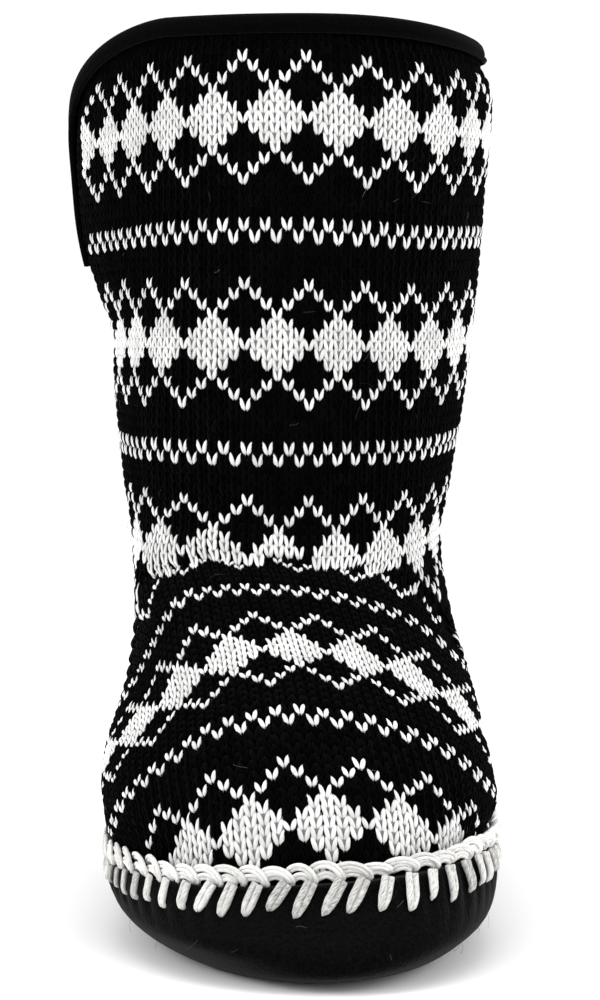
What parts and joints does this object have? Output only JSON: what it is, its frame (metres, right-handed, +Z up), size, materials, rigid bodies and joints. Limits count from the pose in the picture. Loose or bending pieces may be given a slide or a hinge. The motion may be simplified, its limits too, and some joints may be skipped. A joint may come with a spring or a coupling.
{
  "type": "knit slipper boot",
  "caption": "Calf-high knit slipper boot with a side-wrap flap, bound collar, soft cup sole and a white edge chain, standing empty on its sole.",
  "frame": {"origin": "middle of the boot's bounding box, on the floor that the sole stands on", "axes": "+Z up, -Y towards the toe, +Y towards the heel, -X towards the outer (little toe) side of this right boot"},
  "size_m": [0.1302, 0.2464, 0.2582],
  "materials": {
    "knit": "matte wool-like knit, black with white diamonds",
    "binding": "brushed fleece tape",
    "sole": "napped suede cloth",
    "insole": "black fleece",
    "white_yarn": "soft matte yarn"
  },
  "bodies": {
    "root": {"upper": "knit", "sole": "sole", "insole": "insole", "edge_chain": "white_yarn", "collar_binding": "binding"}
  },
  "joints": []
}
